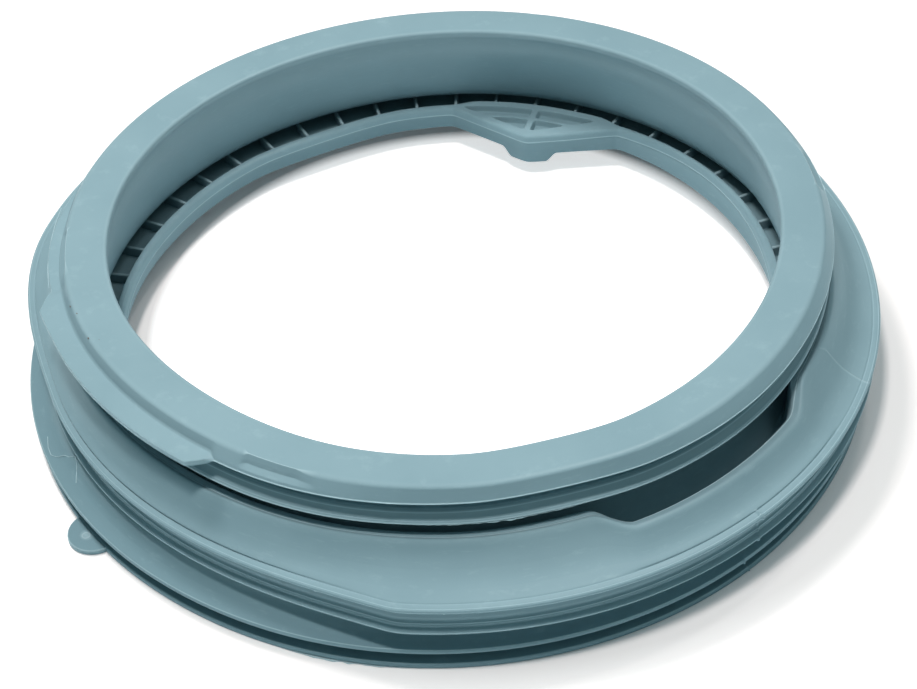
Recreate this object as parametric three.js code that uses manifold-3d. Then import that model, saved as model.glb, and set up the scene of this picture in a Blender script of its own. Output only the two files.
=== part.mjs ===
// Door seal of a front-loading washing machine, moulded in one piece from soft grey-blue rubber.
// Millimetres, +Z up. The seal lies on its tub flange with the door mouth facing up, and the
// origin is on the ring's axis in the plane of that flange's face. Azimuths are in degrees,
// counted from +X towards +Y.

import * as THREE from 'three';
import { mergeVertices } from 'three/addons/utils/BufferGeometryUtils.js';
import Module from 'manifold-3d';

const wasm = await Module();
wasm.setup();

const seal = {
  colour: 0x7d9aa5,
  roughness: 0.5,
  wall: 2.4,
};

// The door lip, and the groove between two flanges that holds the cabinet's front panel.
const lip = {
  mouthRadius: 150,
  faceWidth: 18,
  edgeThickness: 2.6,
  edgeRound: 2,
  shoulderWidth: 6,
  shoulderHeight: 6.4,
};
const panelGroove = {
  depth: 12.5,
  width: 5.4,
  upperFlange: 1.4,
  lowerFlange: 2,
  lowerBevel: 1.8,
  floorSlope: 1.6,
};

// The throat is the smooth wall seen through the mouth. It folds back up into the crown.
const throat = {
  setBack: 2.6,
  flare: 10.6,
  foldGap: 4,
  foldRound: 4.6,
  foldUnderRingTop: 1,
};

// The crown is the wide outer convolution: a rounded top, a dished slope and a beaded rim.
const crown = {
  topWidth: 7,
  dishWidth: 23.4,
  dishRise: 14.6,
  dishSag: 2.4,
  flangeGap: 5.4,
  rimThickness: 1.8,
  rimBead: 1,
};
const skirt = {
  setBack: 5,
  height: 11,
  ridgeCount: 2,
  ridgeHeight: 1.4,
  hemThickness: 2,
};

// The tub end: a waist, a groove for the clamp band between two flanges, and the face it lies on.
const tub = {
  waistDepth: 14,
  waistHeight: 11.6,
  bandFlangeSetBack: 3,
  bandFlange: 2.8,
  grooveDepth: 10,
  grooveWidth: 6,
  baseSetBack: 4,
  baseFlange: 3.2,
  baseFaceWidth: 14.5,
};

// The water ring inside the tub end, with a pocket between each two of its ribs.
const waterRing = {
  setBack: 2.6,
  lean: 2.4,
  width: 5.2,
  height: 12.4,
  webHeight: 13.6,
  webThickness: 3.6,
};
const ribs = { count: 50, thickness: 1.6, height: 6, reach: 16.5, bite: 1.5 };

// The crown's rim eases back over one arc and comes out again at a corner. Its top stands back
// over another arc, most at that arc's first end.
const cutBack = { start: 163, fullFrom: 199, corner: 261.5, easing: 13, depth: 12.4 };
const recess = { start: 286.5, fullFrom: 293, fullTo: 322.5, end: 326.5 };
const recessDepth = { near: 10.4, far: 4.8, farFrom: 305, drop: 5 };

// A tongue widens the upper flange between two azimuths, and a round lug stands on the base.
const tongue = { start: 191, end: 236, taper: 3.5, reach: 8 };
const lug = { azimuth: 215, radius: 12, centreSetBack: 2, dimpleRadius: 1.6, dimpleDepth: 1 };

// Shallow sloping facets in the lip's rounded shoulder.
const notches = {
  azimuths: [8, 67.8, 183, 245],
  length: 36,
  endTaper: 9,
  height: 3.6,
  width: 12,
  inset: 0.6,
  lean: 42,
};

// The pad is a three-cornered widening of the water ring, with four sunk panels in its top and a
// nub under its blunt tip. Its angles are half angles, seen from the ring's axis.
const pad = {
  azimuth: 70.9,
  halfAngle: 16.4,
  bluntAngle: 1.7,
  reach: 22,
  overRing: 2.6,
  overRingReach: 8,
  nub: { fullAngle: 3.9, endAngle: 6, drop: 5 },
  panelDepth: 2.6,
  tipRail: 8,
  rail: 2.6,
  nearPanel: { length: 7.2, halfAngle: 6 },
  farPanel: { length: 7.9, halfAngle: 11.2 },
};

const stationStep = 6;
const rad = THREE.MathUtils.degToRad;

// Heights of the profile's landmarks, stacked from the base upwards.
const z = {};
z.grooveFloor = tub.baseFlange;
z.grooveRoof = z.grooveFloor + tub.grooveWidth;
z.bandFlangeTop = z.grooveRoof + tub.bandFlange;
z.hem = z.bandFlangeTop + tub.waistHeight;
z.hemTop = z.hem + skirt.hemThickness;
z.rimUnder = z.hemTop + skirt.height;
z.rimTop = z.rimUnder + crown.rimThickness;
z.crownTop = z.rimTop + crown.dishRise;
z.lowerFlange = z.crownTop + crown.flangeGap;
z.lowerFlangeTop = z.lowerFlange + panelGroove.lowerFlange;
z.panelFloorEdge = z.lowerFlangeTop + panelGroove.lowerBevel;
z.panelFloor = z.panelFloorEdge + panelGroove.floorSlope;
z.panelRoof = z.panelFloor + panelGroove.width;
z.upperFlangeTop = z.panelRoof + panelGroove.upperFlange;
z.face = z.upperFlangeTop + lip.shoulderHeight;
z.web = waterRing.webHeight;
z.webTop = z.web + waterRing.webThickness;
z.ringTop = z.web + waterRing.height;
z.foldUnder = z.ringTop - throat.foldUnderRingTop;

// Radii of the same landmarks, worked outwards from the mouth.
const r = {};
r.mouth = lip.mouthRadius;
r.faceEnd = r.mouth + lip.faceWidth;
r.flange = r.faceEnd + lip.shoulderWidth;
r.panelGroove = r.flange - panelGroove.depth;
r.throatTop = r.mouth + throat.setBack;
r.throatFoot = r.throatTop + throat.flare;
r.leg = r.throatFoot + seal.wall + throat.foldGap;
r.crownTop = r.leg + crown.topWidth;
r.rim = r.crownTop + crown.dishWidth;
r.skirt = r.rim - skirt.setBack;
r.waist = r.rim - tub.waistDepth;
r.bandFlange = r.rim - tub.bandFlangeSetBack;
r.base = r.rim - tub.baseSetBack;
r.clampGroove = r.base - tub.grooveDepth;
r.baseInner = r.base - tub.baseFaceWidth;
r.ringFoot = r.mouth + waterRing.setBack;
r.ringNose = r.ringFoot - waterRing.lean;
r.ringOuter = r.ringNose + waterRing.width;

// 0 outside an arc, 1 inside it, with a smooth ramp at each end.
function arcShare(azimuth, arc) {
  const rise = THREE.MathUtils.smoothstep(azimuth, arc.start, arc.fullFrom);
  const fall = THREE.MathUtils.smoothstep(azimuth, arc.fullTo, arc.end);
  return rise * (1 - fall);
}

function cutBackShare(azimuth) {
  const rise = THREE.MathUtils.smoothstep(azimuth, cutBack.start, cutBack.fullFrom);
  const beforeCorner = Math.max(cutBack.corner - azimuth, 0);
  return rise * (1 - Math.exp(-beforeCorner / cutBack.easing));
}

function recessDepthAt(azimuth) {
  const along = THREE.MathUtils.smoothstep(azimuth, recess.fullFrom, recessDepth.farFrom);
  return arcShare(azimuth, recess) * THREE.MathUtils.lerp(recessDepth.near, recessDepth.far, along);
}

// How far the pad's edge stands in from the ring's nose: a straight line from each shoulder runs
// out to the tip, which is blunt.
function padReach(azimuth) {
  const turn = rad(Math.max(Math.abs(azimuth - pad.azimuth), pad.bluntAngle));
  const half = rad(pad.halfAngle);
  if (turn >= half) return 0;
  const tip = r.ringNose - pad.reach;
  const shoulderDepth = r.ringNose * Math.cos(half) - tip;
  const shoulderWidth = r.ringNose * Math.sin(half);
  const slope = Math.tan(turn);
  const share = (tip * slope) / (shoulderWidth - shoulderDepth * slope);
  return r.ringNose - (tip + share * shoulderDepth) / Math.cos(turn);
}

function nubDrop(azimuth) {
  const turn = Math.abs(azimuth - pad.azimuth);
  return pad.nub.drop * (1 - THREE.MathUtils.smoothstep(turn, pad.nub.fullAngle, pad.nub.endAngle));
}

function tongueReach(azimuth) {
  const fromEnd = Math.min(azimuth - tongue.start, tongue.end - azimuth);
  return tongue.reach * THREE.MathUtils.clamp(fromEnd / tongue.taper, 0, 1);
}

// The lip with its shoulder, the two flanges and the groove between them.
function lipOutline(azimuth) {
  const shoulderDrop = z.face - z.upperFlangeTop;
  return [
    [r.mouth, z.face - lip.edgeThickness],
    [r.mouth + 0.3 * lip.edgeRound, z.face - 0.3 * lip.edgeRound],
    [r.mouth + lip.edgeRound, z.face],
    [r.faceEnd, z.face],
    [r.faceEnd + 0.5 * lip.shoulderWidth, z.face - 0.25 * shoulderDrop],
    [r.faceEnd + 0.8 * lip.shoulderWidth, z.upperFlangeTop + 0.15 * shoulderDrop],
    [r.flange + tongueReach(azimuth), z.upperFlangeTop],
    [r.flange + tongueReach(azimuth), z.panelRoof],
    [r.panelGroove, z.panelRoof],
    [r.panelGroove, z.panelFloor],
    [r.flange - 0.32 * panelGroove.depth, z.panelFloorEdge],
    [r.flange, z.lowerFlangeTop],
    [r.flange, z.lowerFlange],
  ];
}

// The outside of the throat and of the fold, down to its bottom and up the crown's inner leg.
function foldOutline(legRadius) {
  const outside = r.throatTop + seal.wall;
  const foldFloor = z.foldUnder + seal.wall;
  const foot = r.throatFoot + seal.wall;
  return [
    [outside + 4, z.lowerFlange - 2.2],
    [outside + 2, z.lowerFlange - 6],
    [foot - 0.8, foldFloor + throat.foldRound],
    [foot + 0.4 * throat.foldGap, foldFloor],
    [legRadius - 0.6, foldFloor + 0.5 * throat.foldRound],
  ];
}

// The crown's skin from the top of its leg to the rim's underside. inset 0 is the outside.
function crownOutline(legRadius, topHeight, rimRadius, inset) {
  const topRadius = legRadius + crown.topWidth;
  const span = rimRadius - topRadius;
  const rise = topHeight - z.rimTop;
  const onDish = (share) => [
    topRadius + span * share - 0.4 * inset,
    topHeight - rise * share - 4 * crown.dishSag * share * (1 - share) - inset,
  ];
  return [
    [legRadius + inset, topHeight - 0.75 * crown.topWidth],
    [legRadius + 0.35 * crown.topWidth + 0.4 * inset, topHeight - 0.15 * crown.topWidth - 0.8 * inset],
    [topRadius, topHeight - inset],
    onDish(0.25),
    onDish(0.6),
    onDish(0.9),
  ];
}

// The rim's bead, the ridged skirt under it and the hem.
function skirtOutline(rimRadius) {
  const skirtRadius = rimRadius - skirt.setBack;
  const points = [
    [rimRadius, z.rimTop],
    [rimRadius, z.rimUnder],
    [skirtRadius, z.rimUnder - crown.rimBead],
  ];
  const pitch = (skirt.height - crown.rimBead) / (skirt.ridgeCount + 1);
  for (let ridge = 1; ridge <= skirt.ridgeCount; ridge += 1) {
    const height = z.rimUnder - crown.rimBead - ridge * pitch;
    points.push([skirtRadius, height + 0.5 * pitch]);
    points.push([skirtRadius + skirt.ridgeHeight, height + 0.1 * pitch]);
  }
  points.push([skirtRadius + 0.5 * skirt.ridgeHeight, z.hemTop + 0.4 * pitch]);
  points.push([rimRadius - crown.rimBead / 2, z.hemTop]);
  points.push([rimRadius - crown.rimBead / 2, z.hem]);
  return points;
}

// The waist, the two tub flanges with the clamp groove, the base face and the web's underside.
function tubOutline(rimRadius) {
  const waistMiddle = z.bandFlangeTop + 0.6 * tub.waistHeight;
  return [
    [Math.min(r.waist + 4, rimRadius - 4), z.hem - 0.1 * tub.waistHeight],
    [r.waist, waistMiddle],
    [r.waist + 3.6, z.bandFlangeTop + 0.2 * tub.waistHeight],
    [r.bandFlange - 0.8, z.bandFlangeTop],
    [r.bandFlange, z.grooveRoof + 0.5 * tub.bandFlange],
    [r.bandFlange - 0.8, z.grooveRoof],
    [r.clampGroove, z.grooveRoof],
    [r.clampGroove, z.grooveFloor],
    [r.base - 0.5, z.grooveFloor],
    [r.base, 0.6 * tub.baseFlange],
    [r.base, 0],
    [r.baseInner, 0],
    [r.baseInner - 2.5, z.web - 2],
    [r.baseInner - 5, z.web],
  ];
}

// The water ring with its pad, and the top of the web, out to the inside of the waist.
function ringOutline(azimuth) {
  const reach = padReach(azimuth);
  const outer = r.ringOuter + pad.overRing * Math.min(reach / pad.overRingReach, 1);
  return [
    [r.ringFoot - reach, z.web - nubDrop(azimuth)],
    [r.ringNose - reach, z.web + 0.74 * waterRing.height],
    [r.ringNose - reach + 0.25 * waterRing.width, z.ringTop],
    [outer - 0.8, z.ringTop],
    [outer, z.webTop],
    [Math.min(r.waist, r.rim - cutBack.depth) - 2.6 * seal.wall, z.webTop],
  ];
}

// The inside of the skirt, then the crown's, the fold's and the throat's inner faces.
function insideOutline(legRadius, topHeight, rimRadius) {
  const skirtInner = rimRadius - skirt.setBack - 0.9 * seal.wall;
  const inCrown = crownOutline(legRadius, topHeight, rimRadius, seal.wall).reverse();
  return [
    [Math.min(r.waist - seal.wall, skirtInner - 0.5), z.hem - 0.2 * tub.waistHeight],
    [Math.min(r.waist + 4, skirtInner), z.hemTop - 0.2 * skirt.hemThickness],
    [skirtInner + 0.8, z.hemTop + 0.6 * skirt.hemThickness],
    [skirtInner, z.hemTop + 0.6 * skirt.height],
    [skirtInner + 0.4, z.rimUnder + 0.2],
    ...inCrown.slice(1),
    [legRadius + seal.wall, z.foldUnder + throat.foldRound],
    [r.throatFoot + seal.wall + 0.7 * throat.foldGap, z.foldUnder],
    [r.throatFoot + 0.8 * seal.wall, z.foldUnder],
    [r.throatFoot - 0.4, z.foldUnder + throat.foldRound],
    [r.throatTop + 1.8, z.lowerFlange - 4],
    [r.throatTop, z.lowerFlangeTop + 6],
    [r.throatTop, z.face - lip.edgeThickness],
  ];
}

// The seal's closed section at one azimuth, clockwise from the mouth's edge.
function sectionAt(azimuth) {
  const rimRadius = r.rim - cutBack.depth * cutBackShare(azimuth);
  const legRadius = r.leg + recessDepthAt(azimuth);
  const topHeight = z.crownTop - recessDepth.drop * arcShare(azimuth, recess);
  return [
    ...lipOutline(azimuth),
    ...foldOutline(legRadius),
    ...crownOutline(legRadius, topHeight, rimRadius, 0),
    ...skirtOutline(rimRadius),
    ...tubOutline(rimRadius),
    ...ringOutline(azimuth),
    ...insideOutline(legRadius, topHeight, rimRadius),
  ];
}

// Azimuths of the sections: evenly spaced, with the ends of each feature put in.
function stations() {
  const edges = [
    tongue.start, tongue.start + tongue.taper, tongue.end - tongue.taper, tongue.end,
    recess.start, recess.fullFrom, recess.fullTo, recess.end, cutBack.corner,
  ];
  for (const turn of [pad.halfAngle, pad.nub.endAngle, pad.nub.fullAngle, pad.bluntAngle]) {
    edges.push(pad.azimuth - turn, pad.azimuth + turn);
  }
  const even = Array.from({ length: 360 / stationStep }, (_, index) => index * stationStep);
  const clear = even.filter((azimuth) => edges.every((edge) => Math.abs(edge - azimuth) > stationStep / 4));
  return [...clear, ...edges].sort((a, b) => a - b);
}

// A closed ring of skin through the sections.
function ringOfSections() {
  const azimuths = stations();
  const positions = [];
  for (const azimuth of azimuths) {
    const angle = rad(azimuth);
    for (const [radius, height] of sectionAt(azimuth)) {
      positions.push(radius * Math.cos(angle), radius * Math.sin(angle), height);
    }
  }
  const around = azimuths.length;
  const along = positions.length / 3 / around;
  const indices = [];
  for (let i = 0; i < around; i += 1) {
    for (let j = 0; j < along; j += 1) {
      const here = i * along;
      const next = ((i + 1) % around) * along;
      const k = (j + 1) % along;
      indices.push(here + j, here + k, next + j);
      indices.push(here + k, next + k, next + j);
    }
  }
  const geometry = new THREE.BufferGeometry();
  geometry.setAttribute('position', new THREE.Float32BufferAttribute(positions, 3));
  geometry.setIndex(indices);
  return geometry;
}

function toSolid(geometry) {
  const bare = geometry.clone();
  bare.deleteAttribute('normal');
  bare.deleteAttribute('uv');
  const merged = mergeVertices(bare, 1e-4);
  return new wasm.Manifold(new wasm.Mesh({
    numProp: 3,
    vertProperties: new Float32Array(merged.attributes.position.array),
    triVerts: new Uint32Array(merged.index.array),
  }));
}

function toGeometry(solid) {
  const mesh = solid.getMesh();
  const geometry = new THREE.BufferGeometry();
  geometry.setAttribute('position', new THREE.Float32BufferAttribute(mesh.vertProperties, 3));
  geometry.setIndex(Array.from(mesh.triVerts));
  return geometry;
}

// A plan shape extruded upwards from a height.
function slab(shape, bottom, height, curveSegments = 6) {
  const geometry = new THREE.ExtrudeGeometry(shape, { depth: height, bevelEnabled: false, curveSegments });
  return geometry.translate(0, 0, bottom);
}

function ribGeometry(azimuth) {
  const length = ribs.reach + ribs.bite;
  const height = ribs.height + ribs.bite;
  const geometry = new THREE.BoxGeometry(length, ribs.thickness, height);
  geometry.translate(r.ringOuter - ribs.bite + length / 2, 0, z.webTop - ribs.bite + height / 2);
  return geometry.rotateZ(rad(azimuth));
}

// A sector of a flat ring about the axis, its middle line along +X turned by an angle.
function sectorShape(innerRadius, outerRadius, fromAngle, toAngle) {
  const shape = new THREE.Shape();
  shape.absarc(0, 0, outerRadius, rad(fromAngle), rad(toAngle), false);
  shape.absarc(0, 0, innerRadius, rad(toAngle), rad(fromAngle), true);
  shape.closePath();
  return shape;
}

// Cutters for two rows of sunk panels, split by a rail along the pad and a rail across it.
function panelCutters() {
  const near = { inner: r.ringNose - pad.reach + pad.tipRail, ...pad.nearPanel };
  const far = { inner: near.inner + near.length + pad.rail, ...pad.farPanel };
  const cutters = [];
  for (const row of [near, far]) {
    const outer = row.inner + row.length;
    const railAngle = THREE.MathUtils.radToDeg(pad.rail / 2 / row.inner);
    for (const [from, to] of [[railAngle, row.halfAngle], [-row.halfAngle, -railAngle]]) {
      const shape = sectorShape(row.inner, outer, from, to);
      const cutter = toSolid(slab(shape, z.ringTop - pad.panelDepth, 2 * pad.panelDepth, 3));
      cutters.push(cutter.rotate([0, 0, pad.azimuth]));
    }
  }
  return cutters;
}

function lugSolid() {
  const shape = new THREE.Shape();
  const centre = r.base - lug.centreSetBack;
  shape.absarc(centre, 0, lug.radius, 0, 2 * Math.PI);
  const plate = slab(shape, 0, tub.baseFlange, 14);
  const dimple = new THREE.CylinderGeometry(lug.dimpleRadius, lug.dimpleRadius, 2 * lug.dimpleDepth, 8);
  dimple.rotateX(Math.PI / 2).translate(r.base + 0.4 * lug.radius, 0, tub.baseFlange);
  const inside = new THREE.CylinderGeometry(r.base - 1, r.base - 1, 4 * tub.baseFlange, 180);
  inside.rotateX(Math.PI / 2);
  return toSolid(plate).subtract(toSolid(dimple)).subtract(toSolid(inside)).rotate([0, 0, lug.azimuth]);
}

// A cutter with sloping ends whose underside leaves a facet in the shoulder at one azimuth.
function notchCutter(azimuth) {
  const half = notches.length / 2;
  const shape = new THREE.Shape();
  shape.moveTo(-half, notches.height);
  shape.lineTo(-half + notches.endTaper, 0);
  shape.lineTo(half - notches.endTaper, 0);
  shape.lineTo(half, notches.height);
  shape.closePath();
  const cutter = new THREE.ExtrudeGeometry(shape, { depth: notches.width, bevelEnabled: false });
  cutter.rotateX(Math.PI / 2).rotateZ(Math.PI / 2);
  cutter.rotateY(rad(notches.lean));
  cutter.translate(r.faceEnd - notches.inset, 0, z.face);
  return toSolid(cutter).rotate([0, 0, azimuth]);
}

function sealGeometry() {
  let solid = toSolid(ringOfSections());
  for (const cutter of panelCutters()) solid = solid.subtract(cutter);
  solid = solid.add(lugSolid());
  for (let index = 0; index < ribs.count; index += 1) {
    solid = solid.add(toSolid(ribGeometry((index * 360) / ribs.count)));
  }
  for (const azimuth of notches.azimuths) solid = solid.subtract(notchCutter(azimuth));
  return toGeometry(solid);
}

const rubber = new THREE.MeshStandardMaterial({
  color: seal.colour,
  roughness: seal.roughness,
  metalness: 0,
});
const doorSeal = new THREE.Mesh(sealGeometry(), rubber);
doorSeal.name = 'door_seal';

const part = new THREE.Group();
part.add(doorSeal);

export default part;
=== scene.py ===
import math
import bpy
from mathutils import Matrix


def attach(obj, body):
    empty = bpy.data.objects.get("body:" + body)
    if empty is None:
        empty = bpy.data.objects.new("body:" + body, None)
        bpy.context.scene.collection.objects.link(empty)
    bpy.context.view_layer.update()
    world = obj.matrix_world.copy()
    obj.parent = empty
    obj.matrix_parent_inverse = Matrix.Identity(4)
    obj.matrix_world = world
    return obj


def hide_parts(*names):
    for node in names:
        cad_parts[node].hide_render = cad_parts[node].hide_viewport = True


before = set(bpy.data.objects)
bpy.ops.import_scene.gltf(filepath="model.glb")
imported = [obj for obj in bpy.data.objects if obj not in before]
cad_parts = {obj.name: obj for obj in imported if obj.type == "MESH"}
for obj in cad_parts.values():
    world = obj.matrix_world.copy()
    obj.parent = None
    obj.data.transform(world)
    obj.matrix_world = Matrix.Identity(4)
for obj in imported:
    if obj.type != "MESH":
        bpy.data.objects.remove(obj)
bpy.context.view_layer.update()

from types import SimpleNamespace

import bpy
import numpy as np
from bpy.props import FloatProperty, FloatVectorProperty, IntProperty, PointerProperty
from mathutils import Matrix

bl_info = {
    "name": "Washing machine door seal",
    "version": (1, 0, 0),
    "blender": (4, 5, 0),
    "location": "View3D > Sidebar > Door Seal",
    "description": "Dresses the packed solid of a front loader's door seal as moulded rubber",
    "category": "Add Mesh",
}

# Shapes are worked out in millimetres, and new_piece turns them into metres.
MM = 0.001
WEB_THICKNESS = 3.6
SKIRT_SET_BACK = 5.4
TONGUE_BLEND = 2.5
TONGUE_RAISED = 1.1
# The notches' middles, half length, and the lengths of their two end ramps, in degrees.
NOTCHES = (8.0, 67.8, 183.0, 245.0)
NOTCH_HALF = 5.8
NOTCH_RISE = 0.9
NOTCH_FALL = 3.2
PAD_RUN_POINTS = 84
PANEL_DEPTH = 2.9
PANEL_SHARPNESS = 1.6


def number(description, default, **settings):
    """A property that holds one number."""
    return FloatProperty(description=description, default=default, **settings)


def length(description, millimetres):
    """A length property whose default is given in millimetres."""
    metres = millimetres * MM
    return number(description, metres, unit="LENGTH", subtype="DISTANCE", precision=5)


def angle(description, degrees):
    """An angle property whose default is given in degrees."""
    return number(description, math.radians(degrees), unit="ROTATION", subtype="ANGLE")


def colour(description, default):
    """A colour property in linear values."""
    return FloatVectorProperty(
        description=description,
        default=default,
        size=3,
        min=0.0,
        max=1.0,
        subtype="COLOR",
    )


class DoorSealSizes(bpy.types.PropertyGroup):
    """Driving sizes of the moulded ring. Most are the solid's too."""

    mouth_radius: length("Radius of the lip's inner edge", 150)
    face_width: length("Width of the flat lip around the mouth", 18)
    face_height: length("Height of the lip over the tub face", 77)
    wall: length("Thickness of the moulded wall", 2.4)
    flange_radius: length("Outer radius of both front flanges", 174)
    groove_radius: length("Radius of the panel groove's floor", 161.5)
    upper_flange: length("Height of the upper flange's top", 70.6)
    lower_flange: length("Height of the lower flange's underside", 58.4)
    foot_radius: length("Radius of the throat wall where it folds", 163.2)
    fold_height: length("Height of the fold's underside", 25)
    leg_radius: length("Radius of the crown's inner leg", 169.6)
    crown_radius: length("Radius of the crown's top", 176.6)
    crown_height: length("Height of the crown's top", 53)
    rim_radius: length("Radius of the crown's rim", 200)
    rim_height: length("Height of the rim's top", 38.4)
    hem_height: length("Height of the hem's underside", 23.6)
    waist_radius: length("Radius of the waist under the hem", 186)
    base_radius: length("Outer radius of the base flange", 196)
    ring_radius: length("Inner radius of the water ring", 150.2)
    ring_width: length("Width of the water ring's top", 5.2)
    ring_height: length("Height of the water ring's top", 26)
    web_height: length("Height of the web's underside", 13.6)
    rib_count: IntProperty(description="Ribs in the trench", default=50, min=1)
    rib_thickness: length("Thickness of each rib in the trench", 1.7)
    rib_height: length("Height of each rib over the trench floor", 5)


class DoorSealArcs(bpy.types.PropertyGroup):
    """Places around the ring, counted from +X towards +Y, and how far each feature reaches."""

    cut_start: angle("Where the rim begins to stand back", 163)
    cut_full: angle("Where the rim stands back fully", 199)
    cut_corner: angle("Corner where the rim comes out again", 261.5)
    cut_easing: angle("How slowly the rim comes back before its corner", 13)
    cut_depth: length("How far the rim stands back", 12.4)
    recess_start: angle("Where the crown's top begins to stand back", 286.9)
    recess_end: angle("Where the crown's top is full again", 328.6)
    recess_in: angle("Length of the ramp at the recess's first end", 5.8)
    recess_out: angle("Length of the ramp at the recess's last end", 8)
    recess_depth: length("How far the crown's leg stands back", 7.6)
    recess_drop: length("How far the crown's top comes down", 4.6)
    tongue_start: angle("First end of the upper flange's tongue", 189.4)
    tongue_end: angle("Last end of the upper flange's tongue", 235.2)
    tongue_slant: angle("Length of the slanted cut at the first end", 4.3)
    tongue_cut: angle("Length of the slanted cut at the last end", 2.8)
    tongue_reach: length("How far the tongue stands past the flange", 8)
    pad_middle: angle("Middle of the three-cornered pad", 70.9)
    pad_half: angle("Half of the pad's arc on the water ring", 16.4)
    pad_reach: length("How far the pad's tip stands in from the ring", 22)
    pad_overhang: length("How far the pad widens the ring outwards", 2.6)
    nub_half: angle("Half of the arc of the nub under the pad's tip", 6)
    nub_drop: length("How far the nub reaches below the ring's foot", 5)
    lug_middle: angle("Azimuth of the round lug on the base", 215)
    lug_radius: length("Radius of the round lug", 12)


class DoorSealColours(bpy.types.PropertyGroup):
    """Colours of the rubber."""

    rubber: colour("Colour of the moulded rubber", (0.203, 0.308, 0.347))
    bloom: colour("Paler bloom that handling leaves", (0.258, 0.374, 0.415))
    # Painted shade: the tub end colour darkens the rubber towards the bottom, on the hem, the waist
    # and the lower tiers.
    tub_end: colour("Tub end, which has kept less of the bloom", (0.125, 0.215, 0.25))
    # The edge colour paints pale flash, parting lines and scuffs. It also paints painted highlight
    # along the flange edges, the rim beads and the rib tops.
    edge: colour("Thin skin and torn edges, where light comes through", (0.58, 0.74, 0.78))
    speck: colour("Brown storage specks", (0.20, 0.17, 0.15))


class DoorSealStage(bpy.types.PropertyGroup):
    """The camera and the lamps."""

    distance: length("Distance from the camera to what it looks at", 994.5)
    lens: number("Focal length in millimetres", 82.44)
    elevation: angle("Camera's height over the horizon", 41.78)
    roll: angle("Camera's turn about its own axis", -3.375)
    target_x: length("Where the camera looks, across the view", 3.04)
    target_y: length("Where the camera looks, up the view", -0.81)
    key_power: number("Power of the lamp at the back left", 13.5)
    front_power: number("Power of the lamp over the front", 15.0)
    box_power: number("Power of the small lamp at the back right", 2.2)
    fill_power: number("Power of the broad lamp at the right", 1.5)
    sky: number("Strength of the dome overhead", 0.37)
    sky_tint: colour("Colour of the dome's light", (0.62, 0.94, 1.0))


def in_millimetres(group):
    """A property group's values under their own names, with its lengths in millimetres."""
    values = SimpleNamespace()
    for name in type(group).__annotations__:
        value = getattr(group, name)
        is_length = group.bl_rna.properties[name].unit == "LENGTH"
        setattr(values, name, value / MM if is_length else value)
    return values


def seal_values(scene):
    """The scene's sizes and arcs, with their lengths in millimetres."""
    return in_millimetres(scene.seal_sizes), in_millimetres(scene.seal_arcs)


def smooth_step(value, low, high):
    """0 below low, 1 above high, and 3t^2 - 2t^3 of the share t between them."""
    share = np.clip((value - low) / (high - low), 0.0, 1.0)
    return share * share * (3.0 - 2.0 * share)


def turn_between(azimuth, middle):
    """The signed turn from middle to azimuth, between minus and plus half a turn."""
    return (azimuth - middle + math.pi) % (2.0 * math.pi) - math.pi


def azimuth_stations(coarse, fine_arcs):
    """Rising azimuths around the ring: every coarse step, and every finer step on each fine arc.

    A fine arc is (middle, half length, step), in degrees.
    """
    stations = np.arange(0.0, 360.0, coarse)
    for middle, half, step in fine_arcs:
        away = np.degrees(np.abs(turn_between(np.radians(stations), math.radians(middle))))
        stations = stations[away > half]
        count = int(round(2.0 * half / step)) + 1
        stations = np.append(stations, (middle + np.linspace(-half, half, count)) % 360.0)
    stations = np.unique(np.round(stations, 4))
    gaps = np.diff(np.append(stations, stations[0] + 360.0))
    return np.radians(stations[gaps > 0.08])


def round_corners(corners, count):
    """Points of a closed section at each of count stations, and the edge share of each point.

    A corner is (radius, height, rounding, steps, edge), all but steps a number or one value for
    each station, and an edge of 0 is left out. With steps 0 it is one point. Otherwise a quadratic
    curve replaces it, which starts and ends on its two sides at the rounding's distance, never past
    the middle of a side.
    """
    corners = [(*corner, 0.0)[:5] for corner in corners]
    spread = np.zeros(count)
    knots = np.stack([np.stack([c[0] + spread, c[1] + spread], axis=-1) for c in corners], axis=1)
    rounding = np.stack([c[2] + spread for c in corners], axis=1)[..., None]
    ends = []
    for neighbour in (1, -1):
        side = np.roll(knots, neighbour, axis=1) - knots
        size = np.maximum(np.linalg.norm(side, axis=-1, keepdims=True), 1e-9)
        ends.append(knots + side / size * np.minimum(rounding, 0.499 * size))
    start, end = ends
    points = []
    edges = []
    for index, corner in enumerate(corners):
        here = slice(index, index + 1)
        edge = (corner[4] + spread)[:, None]
        if corner[3] == 0:
            points.append(knots[:, here])
            edges.append(edge)
            continue
        share = np.linspace(0.0, 1.0, corner[3] + 1)[None, :, None]
        curve = (1 - share) ** 2 * start[:, here] + share ** 2 * end[:, here]
        points.append(curve + 2 * share * (1 - share) * knots[:, here])
        edges.append(edge * (1.0 - np.abs(2.0 * share[:, :, 0] - 1.0) ** 2))
    return np.concatenate(points, axis=1), np.concatenate(edges, axis=1)


def stepped(radius, height, rows):
    """Corners whose first two values are steps outwards and upwards from one place."""
    return [(radius + row[0], height + row[1], *row[2:]) for row in rows]


def hump(azimuth, middle, half):
    """A hump of height 1 at middle: (1 - u^2)^2 of the share u of its half length in degrees."""
    away = np.abs(turn_between(azimuth, math.radians(middle))) / math.radians(half)
    return (1.0 - np.minimum(away, 1.0) ** 2) ** 2


def mouth_sway(azimuth):
    """How far the soft lip stands out of round: waves of two and three a turn, less two humps."""
    waves = 0.5 * np.cos(2 * azimuth) - 0.4 * np.sin(2 * azimuth)
    waves = waves - 0.8 * np.cos(3 * azimuth) + 1.0 * np.sin(3 * azimuth)
    return waves - 1.2 * hump(azimuth, 226, 30) - 1.3 * hump(azimuth, 284, 13)


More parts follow.
